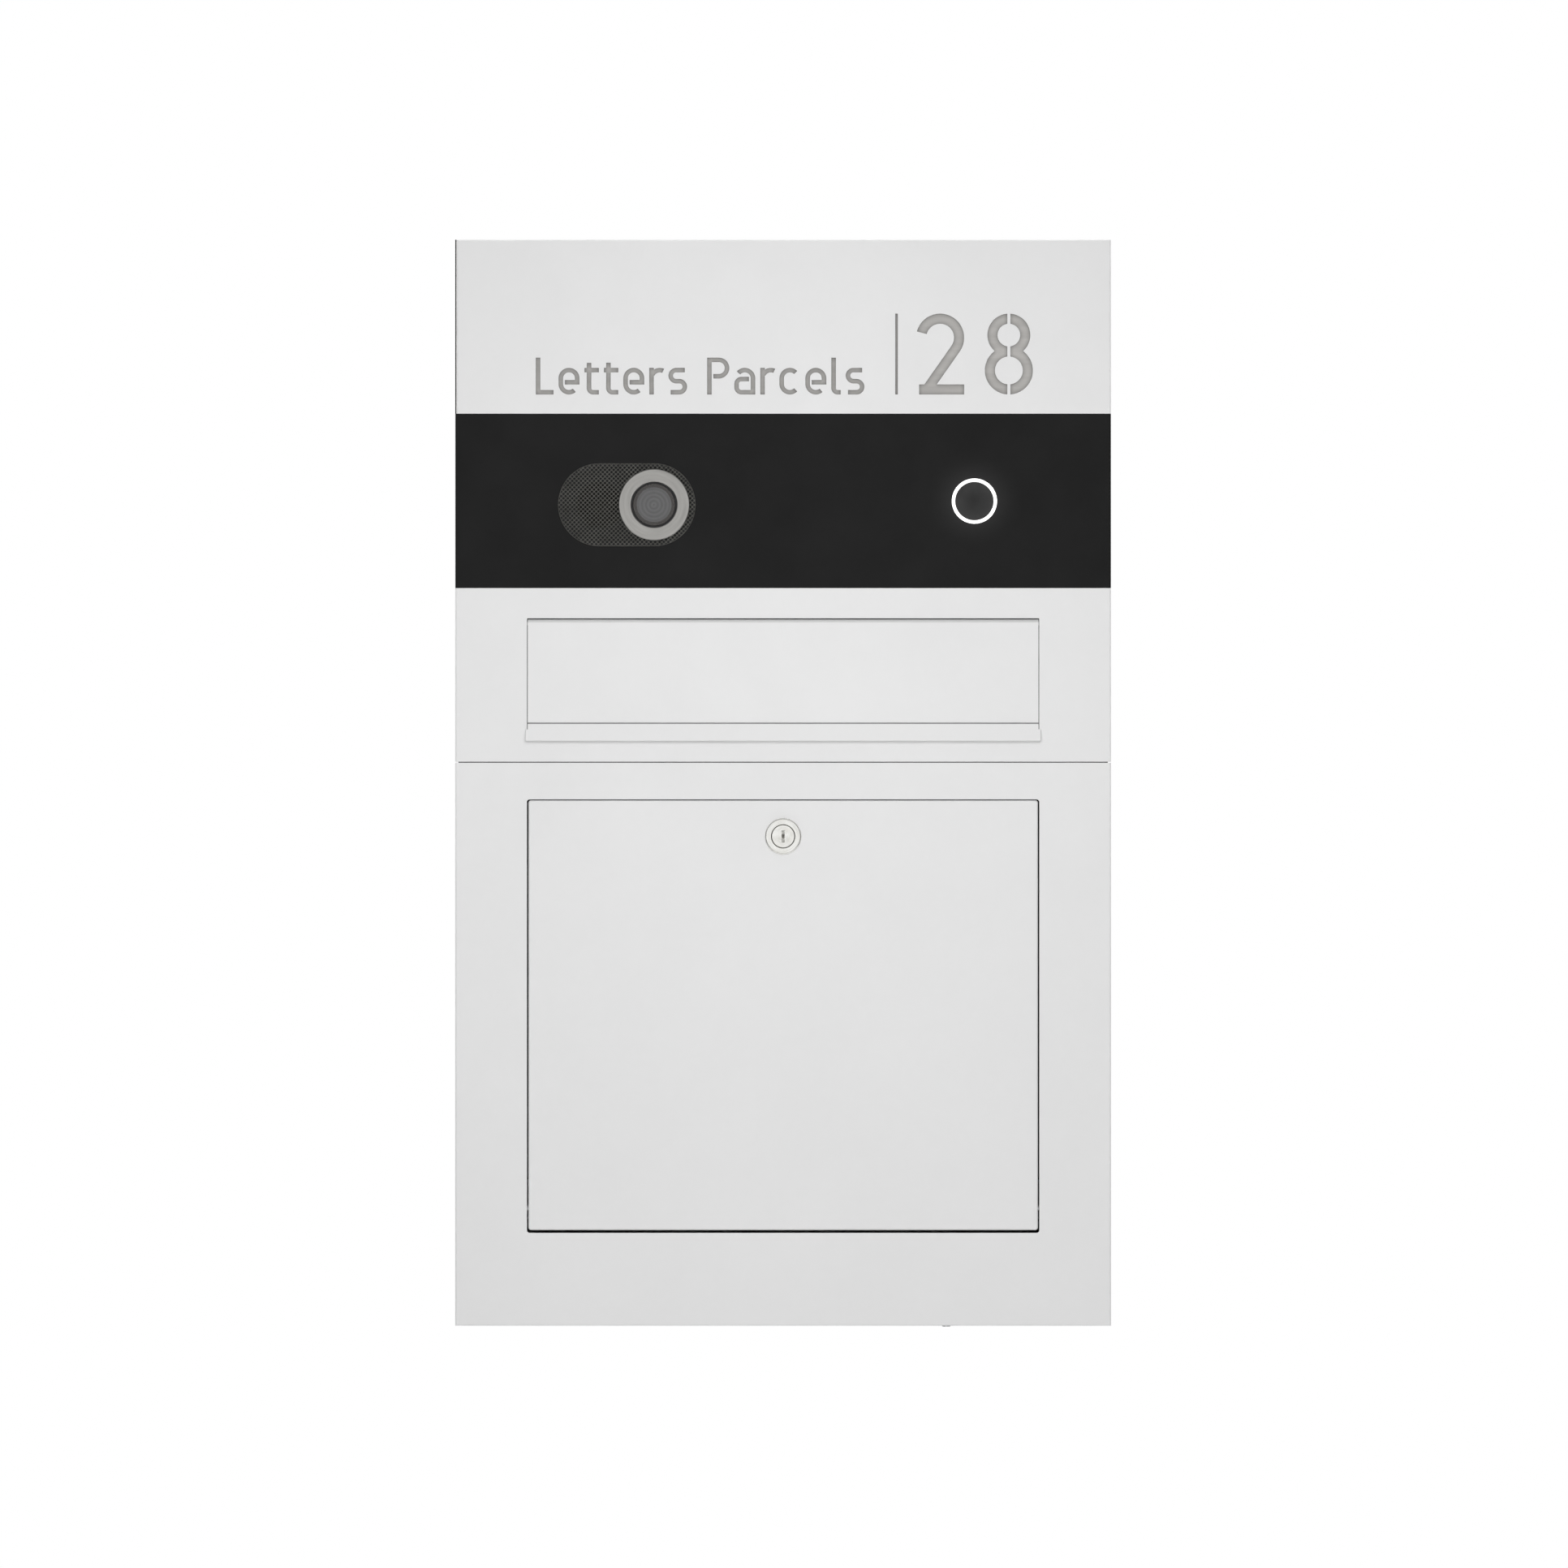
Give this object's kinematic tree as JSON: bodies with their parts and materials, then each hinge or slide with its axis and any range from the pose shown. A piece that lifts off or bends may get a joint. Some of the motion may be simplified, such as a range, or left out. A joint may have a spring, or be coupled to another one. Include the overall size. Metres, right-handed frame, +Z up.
{
  "type": "in-wall letter and parcel box",
  "caption": "In-wall letter and parcel box with an address plate, a video door station with a bell, a letter flap and a lockable bottom-hinged door.",
  "frame": {"origin": "centre of the four wall fixings, on the outside of the casing's back", "axes": "+X to the right as the front is seen, +Y into the wall, +Z up; the front faces -Y"},
  "size_m": [0.48, 0.2565, 0.7958],
  "materials": {
    "white_paint": "white powder coat, fine satin",
    "black_paint": "satin black coat",
    "dark_frame": "dark powder coat",
    "brushed_sheet": "horizontally brushed",
    "zinc_sheet": "galvanised sheet",
    "zinc_screw": "zinc plated",
    "bezel_metal": "turned and brushed",
    "lock_chrome": "nickel plated, polished",
    "cam_steel": "zinc plated",
    "black_plastic": "fine texture",
    "grey_plastic": "moulded",
    "cap_plastic": "satin",
    "glow_plastic": "lit from behind",
    "window_plastic": "smoked, clear",
    "lens_glass": "coated",
    "mesh_metal": "perforated, satin",
    "board_green": "solder mask",
    "cone_paper": "pressed fibre",
    "rubber": "soft"
  },
  "bodies": {
    "housing": {"address_plate": "white_paint", "flap_panel": "white_paint", "lower_front": "white_paint", "station_tray": "black_paint", "letter_backing": "brushed_sheet", "mounting_plate": "dark_frame", "frame_collar": "dark_frame", "door_jamb": "dark_frame", "letter_sleeve": "dark_frame", "door_hinge_blocks": "dark_frame", "flap_hinge_blocks": "black_plastic", "casing_walls": "zinc_sheet", "casing_back": "zinc_sheet", "plaster_rim": "zinc_sheet", "plaster_anchors": "zinc_sheet", "mail_chute": "zinc_sheet", "divider_shelf": "zinc_sheet", "fishing_guard": "zinc_sheet", "floor_mat": "rubber", "slot_seal": "rubber", "door_seal": "rubber", "wall_gasket": "rubber", "blanking_plugs": "grey_plastic", "cable_gland": "grey_plastic", "clamp_screws": "zinc_screw", "rivet_nuts": "zinc_screw", "panel_studs": "zinc_screw", "panel_spacers": "zinc_screw", "panel_nuts": "zinc_screw", "foot_screw": "zinc_screw", "camera_bezel": "bezel_metal", "camera_barrel": "black_plastic", "camera_window": "window_plastic", "camera_lens": "lens_glass", "speaker_mesh": "mesh_metal", "station_carrier": "black_plastic", "station_case": "grey_plastic", "circuit_board": "board_green", "station_screws": "zinc_screw", "terminal_block": "grey_plastic", "speaker_driver": "zinc_screw", "speaker_cone": "cone_paper", "bell_light_ring": "glow_plastic", "bell_housing": "black_plastic", "bell_switch": "black_plastic", "bell_spring": "zinc_screw", "cable_duct": "grey_plastic"},
    "letter_flap": {"flap_leaf": "white_paint", "flap_rod": "zinc_screw"},
    "door": {"door_leaf": "white_paint", "door_liner": "zinc_sheet", "hinge_pins": "zinc_screw", "door_stops": "zinc_screw", "lock_barrel": "lock_chrome", "lock_nut": "lock_chrome", "lock_washer": "cam_steel"},
    "lock_cylinder": {"lock_plug": "lock_chrome", "lock_cam": "cam_steel", "cam_screw": "cam_steel"},
    "bell_button": {"bell_cap": "cap_plastic"}
  },
  "joints": [
    {"name": "flap_hinge", "type": "hinge", "parent": "housing", "child": "letter_flap", "pos_m": [0, -0.2326, 0.1164], "axis": [-1, 0, 0], "range_deg": [0, 80]},
    {"name": "door_hinge", "type": "hinge", "parent": "housing", "child": "door", "pos_m": [0, -0.23, -0.3115], "axis": [1, 0, 0], "range_deg": [0, 90]},
    {"name": "lock_turn", "type": "hinge", "parent": "door", "child": "lock_cylinder", "pos_m": [0, -0.236, -0.03925], "axis": [0, -1, 0], "range_deg": [0, 90]},
    {"name": "bell_press", "type": "slide", "parent": "housing", "child": "bell_button", "axis": [0, 1, 0], "range_m": [0, 0.0012], "stiffness_N_per_m": 500, "springref_m": -0.001, "deforming": ["bell_spring"]}
  ]
}
